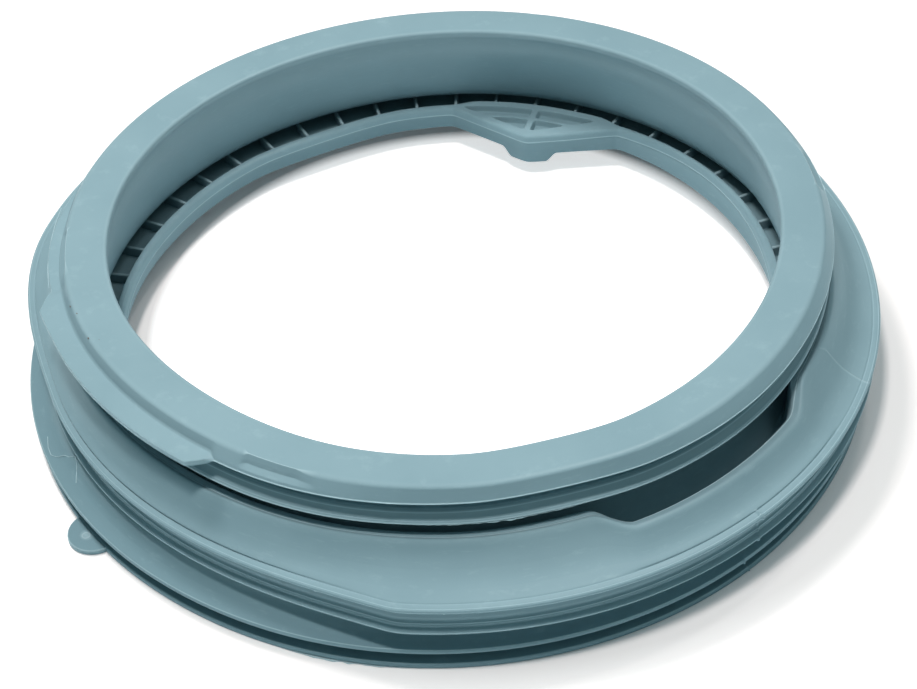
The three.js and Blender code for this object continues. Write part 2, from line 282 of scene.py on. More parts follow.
def rim_sway(azimuth, arcs):
    """How far the rim stands out of round: slow waves, which fade where the rim is cut back."""
    waves = -1.6 - 2.4 * np.cos(azimuth) - 0.8 * np.sin(azimuth)
    waves = waves - 0.9 * np.cos(2 * azimuth) - 2.7 * np.sin(2 * azimuth)
    return waves * (1.0 - cut_back_share(azimuth, arcs))


def ring_sway(azimuth):
    """How far the water ring stands out of round: most behind its pad."""
    return 3.8 * hump(azimuth, 68, 55) - 2.0 * hump(azimuth, 113, 16) + 1.1 * hump(azimuth, 175, 30)


def ring_lean(azimuth):
    """How far the water ring's top leans outwards past its foot."""
    return 5.2 * hump(azimuth, 32, 34)


def throat_sway(azimuth):
    """How far the throat wall's lower end stands out of round."""
    return 2.2 * hump(azimuth, 56, 60) - 3.2 * hump(azimuth, 4, 24)


def out_of_round(azimuth, radius, height, arcs):
    """How far a point stands out of round.

    The mouth's sway fades with height into the throat's on the inside and the rim's on the
    outside, and the rim's fades out towards the base. The web near the water ring follows the ring.
    """
    up = smooth_step(height, 36, 70)
    low = smooth_step(height, 0, 34)
    base = 1.3 * hump(azimuth, 263, 34) - 3.0 * hump(azimuth, 345, 60)
    outside = smooth_step(radius, 165, 172)
    lower = outside * (low * rim_sway(azimuth, arcs) + (1 - low) * base)
    lower = lower + (1 - outside) * throat_sway(azimuth)
    sway = up * mouth_sway(azimuth) + (1 - up) * lower
    ring = ring_sway(azimuth) + ring_lean(azimuth) * smooth_step(height, 13.6, 23.5)
    fade_end = np.where(height < 20, 178, 163)
    near_ring = 1 - smooth_step(height, 26.2, 27.5)
    near_ring = near_ring * (1 - smooth_step(radius, 158.5, fade_end))
    return sway + near_ring * (ring - sway)


def swept_points(section, azimuth, arcs):
    """Places of a section's points at each station's azimuth, pushed out of round."""
    turn = azimuth[:, None]
    radius = section[..., 0] + out_of_round(turn, section[..., 0], section[..., 1], arcs)
    return np.stack([radius * np.cos(turn), radius * np.sin(turn), section[..., 1]], axis=-1)


def grid_quads(rows, columns, closed_rows=True):
    """Corner numbers of a grid's quads, whose columns close, and whose rows do too if asked."""
    row = np.arange(rows if closed_rows else rows - 1)[:, None]
    column = np.arange(columns)[None, :]
    next_row = (row + 1) % rows
    next_column = (column + 1) % columns
    quads = [row * columns + column, row * columns + next_column]
    quads += [next_row * columns + next_column, next_row * columns + column]
    return np.stack([q + 0 * (row + column) for q in quads], axis=-1).reshape(-1, 4)


def area_normals(points, quads):
    """Unit normals of the points: each sums the area vectors of the quads around it."""
    corners = points[quads]
    area = 0.5 * np.cross(corners[:, 2] - corners[:, 0], corners[:, 3] - corners[:, 1])
    total = np.zeros_like(points)
    for index in range(4):
        np.add.at(total, quads[:, index], area)
    size = np.linalg.norm(total, axis=1, keepdims=True)
    return total / np.maximum(size, 1e-20)


def new_piece(name, points, faces, edges=None, normals=None, smooth=True, material="moulded_rubber"):
    """An object at the origin from places in millimetres and quads, with its edge shares, which paint
    pale lines that are partly flash and parting lines and partly painted highlight.
    """
    mesh = bpy.data.meshes.new(name)
    sides = faces.shape[1]
    mesh.vertices.add(len(points))
    mesh.vertices.foreach_set("co", (MM * points).astype(np.float32).ravel())
    mesh.loops.add(faces.size)
    mesh.loops.foreach_set("vertex_index", faces.astype(np.int32).ravel())
    mesh.polygons.add(len(faces))
    mesh.polygons.foreach_set("loop_start", np.arange(0, faces.size, sides, dtype=np.int32))
    mesh.polygons.foreach_set("use_smooth", np.full(len(faces), smooth))
    mesh.update(calc_edges=True)
    share = np.zeros(len(points)) if edges is None else edges
    # The edge share marks pale lines: partly flash and parting lines, partly painted highlight.
    layer = mesh.attributes.new("edge_share", "FLOAT", "POINT")
    layer.data.foreach_set("value", share.astype(np.float32))
    if normals is not None:
        mesh.normals_split_custom_set_from_vertices(normals.tolist())
    mesh.materials.append(bpy.data.materials[material])
    piece = bpy.data.objects.new(name, mesh)
    bpy.context.scene.collection.objects.link(piece)
    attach(piece, "root")
    return piece


def new_ring(name, corners, azimuth, arcs, relief=None):
    """A closed ring of rubber swept through its sections, with an optional raised seam on it."""
    section, edges = round_corners(corners, len(azimuth))
    rows, columns = section.shape[:2]
    points = swept_points(section, azimuth, arcs).reshape(-1, 3)
    shares = edges.reshape(-1)
    quads = grid_quads(rows, columns)
    normals = area_normals(points, quads)
    if relief is not None:
        raised, paler = relief(np.repeat(azimuth, columns), section.reshape(-1, 2))
        points = points + normals * raised[:, None]
        shares = np.maximum(shares, paler)
        normals = area_normals(points, quads)
    return new_piece(name, points, quads, shares, normals)


def cut_back_share(azimuth, arcs):
    """How much the rim stands back: a slow rise, then 1 - e^-x of the x easings left to the corner."""
    rise = smooth_step(azimuth, arcs.cut_start, arcs.cut_full)
    sharpness = math.radians(0.5)
    before = sharpness * np.logaddexp(0.0, (arcs.cut_corner - azimuth) / sharpness)
    return rise * (1.0 - np.exp(-before / arcs.cut_easing))


def rim_radius_at(azimuth, sizes, arcs):
    """The rim's radius, with the arc where it stands back."""
    return sizes.rim_radius - arcs.cut_depth * cut_back_share(azimuth, arcs)


def recess_at(azimuth, arcs):
    """How far the crown's leg stands back and its top comes down in the recess."""
    share = smooth_step(azimuth, arcs.recess_start, arcs.recess_start + arcs.recess_in)
    share = share * (1.0 - smooth_step(azimuth, arcs.recess_end - arcs.recess_out, arcs.recess_end))
    return arcs.recess_depth * share, arcs.recess_drop * share


def tongue_at(azimuth, arcs):
    """How far the tongue widens the upper flange: full between its two slanted ends."""
    rise = (azimuth - arcs.tongue_start) / arcs.tongue_slant
    fall = (arcs.tongue_end - azimuth) / arcs.tongue_cut
    return arcs.tongue_reach * np.clip(np.minimum(rise, fall), 0.0, 1.0)


def notch_at(azimuth):
    """The share of a notch in the lip's shoulder, steep at its first end and slow at its last."""
    share = np.zeros_like(azimuth)
    for middle in NOTCHES:
        turn = np.degrees(turn_between(azimuth, math.radians(middle)))
        rise = (turn + NOTCH_HALF) / NOTCH_RISE
        fall = (NOTCH_HALF - turn) / NOTCH_FALL
        share = np.maximum(share, np.clip(np.minimum(rise, fall), 0.0, 1.0))
    return share


def lip_corners(azimuth, sizes, arcs):
    """The lip, its notched shoulder, the two flanges with their parting lines, and the groove."""
    mouth = sizes.mouth_radius
    face = sizes.face_height
    shoulder = mouth + sizes.face_width + 1.4
    flange = sizes.flange_radius - 2.0 * hump(azimuth, 278, 40)
    upper = sizes.upper_flange
    lower = sizes.lower_flange
    groove = sizes.groove_radius
    tongue = tongue_at(azimuth, arcs)
    top = upper + TONGUE_RAISED * np.clip(tongue / TONGUE_BLEND, 0.0, 1.0)
    tongue = tongue + 3.6 * hump(azimuth, 181, 20)
    flat = np.clip(tongue / TONGUE_BLEND, 0.0, 1.0)
    widened = flange + tongue
    notch = notch_at(azimuth)
    inwards = flange - 0.7 - 1.6 * flat - shoulder
    down = upper + 0.9 + 0.8 * (top - upper) - face
    # Edge shares paint pale lines on the mouth's bead, the notches and both flange edges: partly flash
    # and parting lines, partly painted highlight.
    return stepped(mouth, face, [
        (2.2, -6.5, 2, 1), (0.2, -3.2, 1.4, 3, 0.15), (0.6, -0.5, 1.8, 4, 0.12),
        (0.5 * sizes.face_width, 0.1, 5, 4),
    ]) + stepped(shoulder, face, [
        (-0.5 * notch, -0.15, 2.3 - 2.05 * notch, 6, 0.05 + 0.5 * notch),
        (0.45 * inwards - 1.1 * notch, 0.45 * down, 1.2 - 0.9 * notch, 3),
        (0.75 * inwards - 1.7 * notch, 0.75 * down, 0.6 - 0.3 * notch, 2),
        (inwards, down, 0.4, 2),
    ]) + [
        (flange - 0.35 - 1.15 * flat, top + 0.15, 0.25, 2),
        (widened - 0.3, top, 0.15, 1, 0.4),
        (widened, top - 0.25, 0, 0, 1.0 - 0.6 * flat),
        (widened + 0.1, top - 0.5, 0, 0, 1.0 - 0.8 * flat),
        (widened, upper - 0.8, 0, 0, 0.3),
        (widened - 0.1, upper - 1.1 - 0.8 * flat, 0.2, 1),
        (groove + 1.0, upper - 2.1, 1, 2),
        (groove, 0.5 * (upper + lower) + 1.2, 2.5, 2),
        (groove + 1.4, lower + 4.7, 1, 2),
    ] + stepped(flange, lower, [
        (-5.0, 4.0, 0.6, 2, 0.25), (-3.9, 3.3, 0, 0, 0.35), (-3.6, 3.15, 0, 0, 1.0),
        (-3.3, 2.9, 0, 0, 0.35), (-0.6, 1.2, 0.4, 2, 0.3), (-0.05, 0.4, 0, 0, 0.5),
        (0.1, 0.15, 0, 0, 1.0), (-0.1, -0.15, 0, 0, 0.9), (-1.6, -0.3, 0.3, 1),
    ]) + [(mouth + 9, lower - 2.0, 1.5, 2)]


def fold_corners(leg, sizes):
    """The hidden outside of the throat wall, the fold's floor and the foot of the crown's leg."""
    foot = sizes.foot_radius + sizes.wall
    floor = sizes.fold_height + sizes.wall
    return [
        (sizes.mouth_radius + 6.8, sizes.lower_flange - 6, 3, 2),
        (foot - 0.6, floor + 4.6, 4, 2),
        (0.5 * (foot + leg), floor - 0.4, 2, 2),
        (leg - 0.4, floor + 3, 3, 2),
    ]


def crown_corners(leg, top, rim, sizes):
    """The crown's outer skin: leg, rounded top with a parting line, dish and beaded rim.

    The leg's upper corner is square, and soft in the recess.
    """
    crest = leg + sizes.crown_radius - sizes.leg_radius
    span = rim - crest
    low = sizes.rim_height
    rise = top - low
    square = 1.0 - np.clip((leg - sizes.leg_radius) / 5, 0.0, 1.0)
    line = leg + 2.45 + 1.2 * square
    return stepped(leg, top, [
        (0, -8.5, 0.4, 1),
        (0.6 - 0.7 * square, -4.6, 1.5, 2),
        (1.5 - 1.3 * square, 0.7 * square - 1.9, 0.9, 3),
    ]) + stepped(line, top, [
        (-0.25, -1.05, 0.1, 1), (0, -0.8, 0, 0, 0.4), (0.3, -0.6, 0, 0, 0.9),
        (0.6, -0.55, 0.1, 1),
    ]) + stepped(crest, top, [
        (-0.6, 0.7, 3.2, 7, 0.04),
        (0.17 * span, -0.35 * rise, 5, 4),
        (0.46 * span, -0.76 * rise, 6, 4),
        (0.76 * span, 0.8 - rise, 5, 4),
    # Edge shares on the rim's beads and its lower edge paint pale lines: partly flash, partly painted
    # highlight.
    ]) + stepped(rim, low, [
        (-3.9, 0.3, 0.3, 2), (-3.5, -0.05, 0.2, 2), (-3.1, 0.2, 0.2, 2, 0.15),
        (-1.5, -0.1, 0.2, 1), (-1.25, -0.3, 0.15, 1), (-0.95, -0.1, 0.15, 2, 0.55),
        (-0.3, -0.45, 0.2, 2, 0.1), (0, -1.0, 0.3, 2), (-0.05, -1.7, 0, 0, 0.9),
        (-0.4, -1.95, 0.15, 1), (-4.6, -3.2, 1, 2), (-7.4, -3.4, 0.5, 1),
    ])


def inner_skin_corners(leg, top, rim, sizes):
    """The hidden inside of the crown and fold, then the throat wall seen through the mouth."""
    wall = sizes.wall
    crest = leg + sizes.crown_radius - sizes.leg_radius
    span = rim - crest
    low = sizes.rim_height
    rise = top - low
    foot = sizes.foot_radius
    fold = sizes.fold_height
    return [(rim - 7.2, low - 1.6, 1, 1)] + stepped(crest, top - wall, [
        (0.42 * span, -0.76 * rise, 4, 2),
        (0.10 * span, -0.35 * rise, 4, 2),
        (-1, 0, 2, 2),
    ]) + [
        (leg + wall, top - 4.5, 2, 2),
        (leg + wall, fold + 5, 4, 2),
        (0.5 * (foot + leg + 2 * wall), fold - 0.6, 4, 4),
    ] + stepped(foot, fold, [
        (-0.2, 2.4, 3, 4), (-2.4, 11, 5, 2), (-6, 25, 6, 2),
    ]) + [(sizes.mouth_radius + 3.2, sizes.lower_flange + 3, 5, 2)]


def skirt_corners(rim, sizes):
    """The ridged skirt under the rim, from inside the rim down to the hem."""
    skirt = rim - SKIRT_SET_BACK
    return stepped(skirt, sizes.rim_height, [
        (0, -2.2, 0.3, 1), (-0.2, -4.4, 0.6, 2), (0.35, -6.6, 0.6, 3, 0.08),
        (0.2, -7.6, 0.5, 2), (0.9, -9.6, 0.5, 3, 0.1), (0.8, -10.4, 0.4, 2),
    # Edge shares on the hem paint pale lines: partly flash, partly painted highlight.
    ]) + stepped(skirt, sizes.hem_height, [
        (1.4, 3.7, 0.3, 2, 0.05), (1.9, 3.4, 0.2, 2, 0.55), (1.8, 2.8, 0.2, 1),
        (2.2, 2.5, 0.2, 2, 0.35), (2.1, 1.6, 0.3, 2),
    ]) + stepped(rim, sizes.hem_height, [
        (-1.9, 1.1, 0.3, 2), (-0.9, 0.5, 0.25, 2, 0.7), (-0.9, -0.1, 0.25, 2, 0.3),
        (-6, -1.2, 1.5, 2),
    ])


def tub_corners(rim, sizes):
    """The waist, the band flange, the clamp groove, the base flange and the web's underside."""
    waist = sizes.waist_radius
    tucked = np.minimum(waist + 3, rim - 5)
    return [
        (tucked, sizes.hem_height - 2.6, 1.5, 2),
        (waist - 0.4, 19.6, 2, 3),
        (waist + 2.2, 15.4, 2.6, 3),
    ] + stepped(sizes.base_radius, 0, [
        (-3.2, 12.6, 2.4, 3), (0.6, 11.9, 0.4, 2, 0.5), (1, 10.4, 0.5, 2, 0.1),
        (0.4, 9.3, 0.5, 2, 0.1), (-9.2, 9.1, 0.8, 2), (-10, 6, 2, 2),
        (-9.2, 3.3, 0.8, 2), (-0.3, 3.0, 0.5, 2, 0.3), (0, 1.6, 0.5, 2, 0.05),
        (-0.3, 0, 0.5, 2), (-14.5, 0, 0.6, 2),
        (-17, sizes.web_height - 2, 2, 2),
        (-20, sizes.web_height, 2, 2),
    ])


def web_corners(sizes):
    """The end of the web inside the water ring, and the trench floor on top of it."""
    edge = sizes.ring_radius + 3.5
    web = sizes.web_height
    return [
        (edge, web + 0.3, 0.2, 1),
        (edge, web + 3.4, 0.2, 1),
        (sizes.foot_radius + 8, web + WEB_THICKNESS, 2, 1),
    ]


def skirt_inside_corners(rim, sizes):
    """The hidden inside of the waist and the skirt."""
    skirt = rim - SKIRT_SET_BACK - sizes.wall
    inner = np.minimum(sizes.waist_radius - 2.6, skirt - 0.5)
    return [
        (inner - 3.6, sizes.web_height + WEB_THICKNESS, 2, 1),
        (inner, sizes.hem_height - 2.4, 2, 1),
        (skirt, sizes.hem_height + 2, 2, 1),
        (skirt, sizes.rim_height - 2.2, 0.3, 1),
    ]


def feature_arcs(arcs):
    """Arcs of the ring that need closer stations: (middle, half length, step) in degrees."""
    tongue = [math.degrees(arcs.tongue_start), math.degrees(arcs.tongue_end)]
    recess = [math.degrees(arcs.recess_start), math.degrees(arcs.recess_end)]
    return [
        (tongue[0] + 2.1, 3.0, 0.4),
        (tongue[1] - 1.4, 2.2, 0.3),
        (recess[0] + 3, 4.5, 0.5),
        (recess[1] - 4, 5, 0.5),
        (math.degrees(arcs.cut_corner), 2.4, 0.4),
    ] + [(middle, NOTCH_HALF + 0.8, 0.4) for middle in NOTCHES]


def feed(tree, inlet, value):
    """Link an inlet from a socket, or give it a plain value."""
    if isinstance(value, bpy.types.NodeSocket):
        tree.links.new(value, inlet)
    else:
        inlet.default_value = value


def add_node(tree, kind, inputs, **settings):
    """A shader node with its settings, and its inputs by name or number."""
    node = tree.nodes.new("ShaderNode" + kind)
    for name, value in settings.items():
        setattr(node, name, value)
    for key, value in inputs.items():
        feed(tree, node.inputs[key], value)
    return node


def maths(tree, operation, first, second):
    """The result of a sum on two values, each a socket or a plain number."""
    return add_node(tree, "Math", {0: first, 1: second}, operation=operation).outputs[0]


def ramp_between(tree, value, places, levels=(0.0, 1.0)):
    """A value that ramps from the first level to the second between two places."""
    inputs = {"Value": value, "From Min": places[0], "From Max": places[1]}
    inputs.update({"To Min": levels[0], "To Max": levels[1]})
    return add_node(tree, "MapRange", inputs).outputs["Result"]


def mix_colour(tree, share, first, second):
    """Two colours mixed by a share. Each colour is a socket or plain linear values."""
    mix = tree.nodes.new("ShaderNodeMix")
    mix.data_type = "RGBA"
    for name, value in (("A", first), ("B", second)):
        inlet = next(s for s in mix.inputs if s.name == name and s.type == "RGBA")
        is_socket = isinstance(value, bpy.types.NodeSocket)
        feed(tree, inlet, value if is_socket else (*value, 1.0))
    factor = next(s for s in mix.inputs if s.name == "Factor" and s.type == "VALUE")
    feed(tree, factor, share)
    return next(s for s in mix.outputs if s.type == "RGBA")


def object_place(tree):
    """The place on the object, in metres."""
    return add_node(tree, "TexCoord", {}).outputs["Object"]


def new_material(name):
    """A new material with its node tree and its Principled shader."""
    material = bpy.data.materials.new(name)
    material.use_nodes = True
    tree = material.node_tree
    return material, tree, tree.nodes["Principled BSDF"]


def skin_group():
    """Node group: a fine pebble for the bump, a slow cloud for tone, and short handling scuffs."""
    group = bpy.data.node_groups.new("Rubber skin", "ShaderNodeTree")
    for name, default in (("Grain scale", 1500.0), ("Cloud scale", 16.0)):
        socket = group.interface.new_socket(name, in_out="INPUT", socket_type="NodeSocketFloat")
        socket.default_value = default
    for name in ("Grain", "Cloud", "Scuff"):
        group.interface.new_socket(name, in_out="OUTPUT", socket_type="NodeSocketFloat")
    scales = group.nodes.new("NodeGroupInput").outputs
    results = group.nodes.new("NodeGroupOutput").inputs
    place = object_place(group)
    grain = {"Vector": place, "Scale": scales["Grain scale"], "Detail": 2.0}
    cloud = {"Vector": place, "Scale": scales["Cloud scale"], "Detail": 5.0, "Roughness": 0.55}
    flattened = add_node(group, "Mapping", {"Vector": place, "Scale": (1.0, 1.0, 6.0)})
    scuff = {"Vector": flattened.outputs["Vector"], "Scale": 95.0, "Detail": 6.0, "Roughness": 0.7}
    grain, cloud, scuff = [
        add_node(group, "TexNoise", inputs).outputs["Fac"] for inputs in (grain, cloud, scuff)
    ]
    feed(group, results["Grain"], grain)
    feed(group, results["Cloud"], ramp_between(group, cloud, (0.35, 0.68)))
    feed(group, results["Scuff"], ramp_between(group, scuff, (0.56, 0.75)))
    return group


def rubber_material(colours):
    """Satin moulded rubber: a cloudy tone, painted shade towards the bottom, paler edges that are
    partly flash and partly painted highlight, and a fine pebble.
    """
    tree, shader = new_material("moulded_rubber")[1:]
    group = bpy.data.node_groups.get("Rubber skin") or skin_group()
    skin = add_node(tree, "Group", {}, node_tree=group).outputs
    edge = add_node(tree, "Attribute", {}, attribute_name="edge_share").outputs["Fac"]
    height = add_node(tree, "SeparateXYZ", {0: object_place(tree)}).outputs["Z"]
    cloud = maths(tree, "MULTIPLY", skin["Cloud"], 0.45)
    tone = mix_colour(tree, cloud, colours.rubber, colours.bloom)
    # Painted shade: below 25 mm the tub end colour is mixed in, by 0.55 at 16 mm and lower.
    low = ramp_between(tree, height, (16 * MM, 25 * MM), (0.55, 0.0))
    tone = mix_colour(tree, low, tone, colours.tub_end)
    tone = mix_colour(tree, maths(tree, "MULTIPLY", skin["Scuff"], 0.10), tone, colours.edge)
    # Pale edges from the edge share: partly flash and parting lines, partly painted highlight.
    tone = mix_colour(tree, maths(tree, "MULTIPLY", edge, 0.8), tone, colours.edge)
    bump = {"Height": skin["Grain"], "Strength": 0.12, "Distance": 0.15 * MM}
    feed(tree, shader.inputs["Base Color"], tone)
    roughness = ramp_between(tree, skin["Cloud"], (0.0, 1.0), (0.33, 0.43))
    feed(tree, shader.inputs["Roughness"], roughness)
    feed(tree, shader.inputs["Normal"], add_node(tree, "Bump", bump).outputs["Normal"])
    shader.inputs["Specular IOR Level"].default_value = 0.5


DISH_SEAM = ((333.3, 174.4), (335.1, 178.8), (335.0, 187.5), (334.7, 196.5))
TIER_SEAM = (
    (307.3, 40.0), (308.0, 31.0), (308.1, 27.0), (307.4, 23.5),
    (306.4, 21.0), (306.9, 13.0), (306.0, 11.5), (307.7, 0.0),
)
SEAM_HEIGHT = 0.22
SEAM_WIDTH = 0.42
TIER_SEAM_WIDTH = 0.546


def seam_relief(azimuth, section):
    """Raised mould seams: one down the dish, and one across the skirt, the hem and the tub end.

    The height falls off as e^-d^2 of the distance d to the seam in seam widths.
    """
    radius, height = section[:, 0], section[:, 1]
    path = np.array(DISH_SEAM)
    middle = np.interp(radius, path[:, 1], path[:, 0])
    on_dish = (height > 36) * (height < 53) * (radius > 171)
    away = turn_between(azimuth, np.radians(middle)) * radius / SEAM_WIDTH
    share = on_dish * np.exp(-away * away)
    path = np.array(TIER_SEAM)[::-1]
    middle = np.interp(height, path[:, 1], path[:, 0])
    on_tiers = (height < 39) * (radius > 180) * (height > 1)
    away = turn_between(azimuth, np.radians(middle)) * radius / TIER_SEAM_WIDTH
    tiers = on_tiers * np.exp(-away * away)
    return SEAM_HEIGHT * (share + 3.2 * tiers), 0.25 * share


class SEAL_OT_body(bpy.types.Operator):
    """Make the moulded ring: the lip, throat and crown, and the skirt with the tub end"""

    bl_idname = "seal.body"
    bl_label = "Moulded ring"

    def execute(self, context):
        sizes, arcs = seal_values(context.scene)
        rubber_material(context.scene.seal_colours)
        arcs_with_seams = feature_arcs(arcs) + [(334.0, 1.9, 0.11), (307.1, 1.9, 0.12)]
        azimuth = azimuth_stations(1.2, arcs_with_seams)
        depth, drop = recess_at(azimuth, arcs)
        leg = sizes.leg_radius + depth
        top = sizes.crown_height - drop
        rim = rim_radius_at(azimuth, sizes, arcs)
        front = lip_corners(azimuth, sizes, arcs) + fold_corners(leg, sizes)
        front += crown_corners(leg, top, rim, sizes) + inner_skin_corners(leg, top, rim, sizes)
        crown = new_ring("lip_and_crown", front, azimuth, arcs, seam_relief)
        back = skirt_corners(rim, sizes) + tub_corners(rim, sizes)
        back += web_corners(sizes) + skirt_inside_corners(rim, sizes)
        new_ring("skirt_and_tub_end", back, azimuth, arcs, seam_relief)
        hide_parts("door_seal")
        return {"FINISHED"}


def pad_edge_radius(turn, sizes, arcs):
    """Radius of the ring's free edge: two straight lines from the ring to the pad's blunt tip.

    A soft minimum of those lines and the ring's own radius leaves a small fillet at each shoulder.
    """
    tip = sizes.ring_radius - arcs.pad_reach - 0.6
    root_x = sizes.ring_radius * math.cos(arcs.pad_half)
    root_y = sizes.ring_radius * math.sin(arcs.pad_half)
    lean = math.atan2(root_x - tip, root_y)
    away = np.sqrt(np.minimum(np.abs(turn), math.radians(55)) ** 2 + math.radians(0.9) ** 2)
    line = tip * math.cos(lean) / np.cos(away + lean)
    gap = sizes.ring_radius - line
    return 0.5 * (sizes.ring_radius + line - np.sqrt(gap * gap + 1.0))


def panel_mask(turn, radius, sizes, arcs):
    """1 inside the pad's four sunk panels and 0 outside, with sloping walls between.

    The signed distances to the rim of the three-cornered field, to the lengthwise rail and to the
    two rows are joined by a soft minimum, so that the panels have rounded corners.
    """
    along = radius * np.cos(turn) - sizes.ring_radius + arcs.pad_reach
    across = radius * np.sin(turn)
    left = (along - 6.2 - 0.355 * across) / math.hypot(1.0, 0.355)
    right = (along - 6.6 + 0.5 * across) / math.hypot(1.0, 0.5)
    rail = np.abs(across - 1.1) - 2.0
    outward = radius - sizes.ring_radius
    far = np.minimum(outward + 4.1, 2.3 - outward)
    row = np.maximum(far, -6.7 - outward)
    inwards = [np.clip(distance, -20.0, 20.0) for distance in (left, right, rail, row)]
    total = sum(np.exp(-PANEL_SHARPNESS * distance) for distance in inwards)
    return smooth_step(-np.log(total) / PANEL_SHARPNESS, -0.5, 0.35)


class SEAL_OT_water_ring(bpy.types.Operator):
    """Make the water ring with its three-cornered pad, the pad's sunk panels and its nub"""

    bl_idname = "seal.water_ring"
    bl_label = "Water ring"

    def execute(self, context):
        sizes, arcs = seal_values(context.scene)
        middle = math.degrees(arcs.pad_middle)
        azimuth = azimuth_stations(1.2, [(middle, 18.6, 0.15)])
        turn = turn_between(azimuth, arcs.pad_middle)
        edge = pad_edge_radius(turn, sizes, arcs)
        reach = sizes.ring_radius - edge
        widened = smooth_step(reach, 0.3, 9)
        nub = smooth_step(arcs.nub_half - np.abs(turn), 0.0, math.radians(2.3))
        web = sizes.web_height
        foot = web - arcs.nub_drop * nub
        top = sizes.ring_height
        outer = sizes.ring_radius + sizes.ring_width + arcs.pad_overhang * widened
        outer = outer - 1.6 * hump(azimuth, 35, 30)
        run_start = edge + 2.4
        run_end = outer - 1.6
        corners = [(edge + 2.2, foot, 0.5, 2, 0.45)] + stepped(edge, top, [
            (0.5, -4.4, 1, 2), (0.1, -3.75, 0.1, 1), (-0.1, -3.5, 0, 0, 0.5),
            (-0.05, -3.3, 0, 0, 0.5), (0.2, -3.05, 0.1, 1), (0.9, -0.9, 0.8, 3),
            (1.9, -0.15, 0.6, 2),
        ])
        for share in np.linspace(0.0, 1.0, PAD_RUN_POINTS):
            place = run_start + (run_end - run_start) * share
            sunk = panel_mask(turn, place, sizes, arcs) * (reach > 2)
            corners.append((place, top - PANEL_DEPTH * sunk, 0, 0))
        corners += [
            (outer - 0.4, top - 0.1, 0.8, 3, 0.1),
            (outer, web + WEB_THICKNESS, 1, 2),
            (outer, web + 1.2, 0.3, 1),
            (sizes.ring_radius + 4.2, web + 1.2, 0.3, 1),
            (sizes.ring_radius + 3.8, web - 0.02, 0.3, 1),
            (edge + 6, 0.5 * (web + foot), 0.5, 1),
        ]
        new_ring("water_ring", corners, azimuth, arcs)
        return {"FINISHED"}


class SEAL_OT_ribs(bpy.types.Operator):
    """Make the ribs that stand in the trench behind the water ring"""

    bl_idname = "seal.ribs"
    bl_label = "Trench ribs"

    def execute(self, context):
        sizes = in_millimetres(context.scene.seal_sizes)
        half = 0.5 * sizes.rib_thickness
        top = sizes.web_height + WEB_THICKNESS + sizes.rib_height
        foot = sizes.web_height + 1.5
        near = sizes.ring_radius + sizes.ring_width - 1
        far = near + 18
        round_by = 0.5 * half
        across = np.array([-half, -half, -half + round_by, half - round_by, half, half])
        height = np.array([foot, top - round_by, top, top, top - round_by, foot])
        # The ribs' tops get a pale edge share: painted highlight where light catches them.
        share = np.array([0.0, 0.2, 0.6, 0.6, 0.2, 0.0])
        count = len(across)
        ends = [np.stack([np.full(count, end), across, height], axis=1) for end in (near, far)]
        local = np.concatenate(ends)
        walls = grid_quads(2, count, closed_rows=False)
        caps = np.array([[5, 4, 1, 0], [4, 3, 2, 1], [6, 7, 10, 11], [7, 8, 9, 10]])
        faces = np.concatenate([walls, caps])[:, ::-1]
        turns = 2 * math.pi * np.arange(sizes.rib_count) / sizes.rib_count
        turns = turns + np.radians(0.4 - 3.7 * hump(turns, 12, 62))
        cos, sin = np.cos(turns)[:, None], np.sin(turns)[:, None]
        radial = local[:, 0] + (ring_sway(turns) + 0.6 * ring_lean(turns))[:, None]
        x = radial * cos - local[:, 1] * sin
        y = radial * sin + local[:, 1] * cos
        points = np.stack([x, y, np.broadcast_to(local[:, 2], x.shape)], axis=-1).reshape(-1, 3)
        offsets = (np.arange(sizes.rib_count) * len(local))[:, None, None]
        all_faces = (faces[None] + offsets).reshape(-1, 4)
        shares = np.tile(np.concatenate([share, share]) * 0.5, sizes.rib_count)
        new_piece("trench_ribs", points, all_faces, shares, smooth=False)
        return {"FINISHED"}


class SEAL_OT_lug(bpy.types.Operator):
    """Make the round lug on the base flange, with its dimple"""

    bl_idname = "seal.lug"
    bl_label = "Base lug"

    def execute(self, context):
        sizes, arcs = seal_values(context.scene)
        radius = arcs.lug_radius
        middle = sizes.base_radius - 2
        dimple = 1.7
        dimple_offset = 4.4
        top = 2.9
        # The lug's underside stays just above the base's, so that no two faces lie in one plane.
        underside = 0.15
        around = np.linspace(0, 2 * math.pi, 72, endpoint=False)
        # Each ring: its radius, its height, how far its middle is set outwards, and its edge share.
        rings = [
            (0.02 * dimple, top - 0.25, dimple_offset, 0.25),
            (0.75 * dimple, top - 0.25, dimple_offset, 0.3),
            (dimple, top + 0.05, dimple_offset, 0.5),
            (1.2 * dimple, top, dimple_offset, 0.2),
            (2.2 * dimple, top, 0.8 * dimple_offset, 0.0),
            (radius - 0.6, top, 0.0, 0.0),
            (radius - 0.15, top - 0.2, 0.0, 0.6),
            (radius, top - 0.7, 0.0, 0.3),
            (radius, underside + 0.4, 0.0, 0.0),
            (radius - 0.4, underside, 0.0, 0.0),
            (0.02 * dimple, underside, 0.0, 0.0),
        ]
        table = np.array(rings)
        x = middle + table[:, 2:3] + table[:, 0:1] * np.cos(around)
        y = table[:, 0:1] * np.sin(around)
        z = np.broadcast_to(table[:, 1:2], x.shape)
        cos, sin = math.cos(arcs.lug_middle), math.sin(arcs.lug_middle)
        points = np.stack([x * cos - y * sin, x * sin + y * cos, z], axis=-1).reshape(-1, 3)
        quads = grid_quads(len(rings), len(around), closed_rows=False)[:, ::-1]
        shares = np.repeat(table[:, 3], len(around))
        new_piece("base_lug", points, quads, shares, area_normals(points, quads))
        return {"FINISHED"}


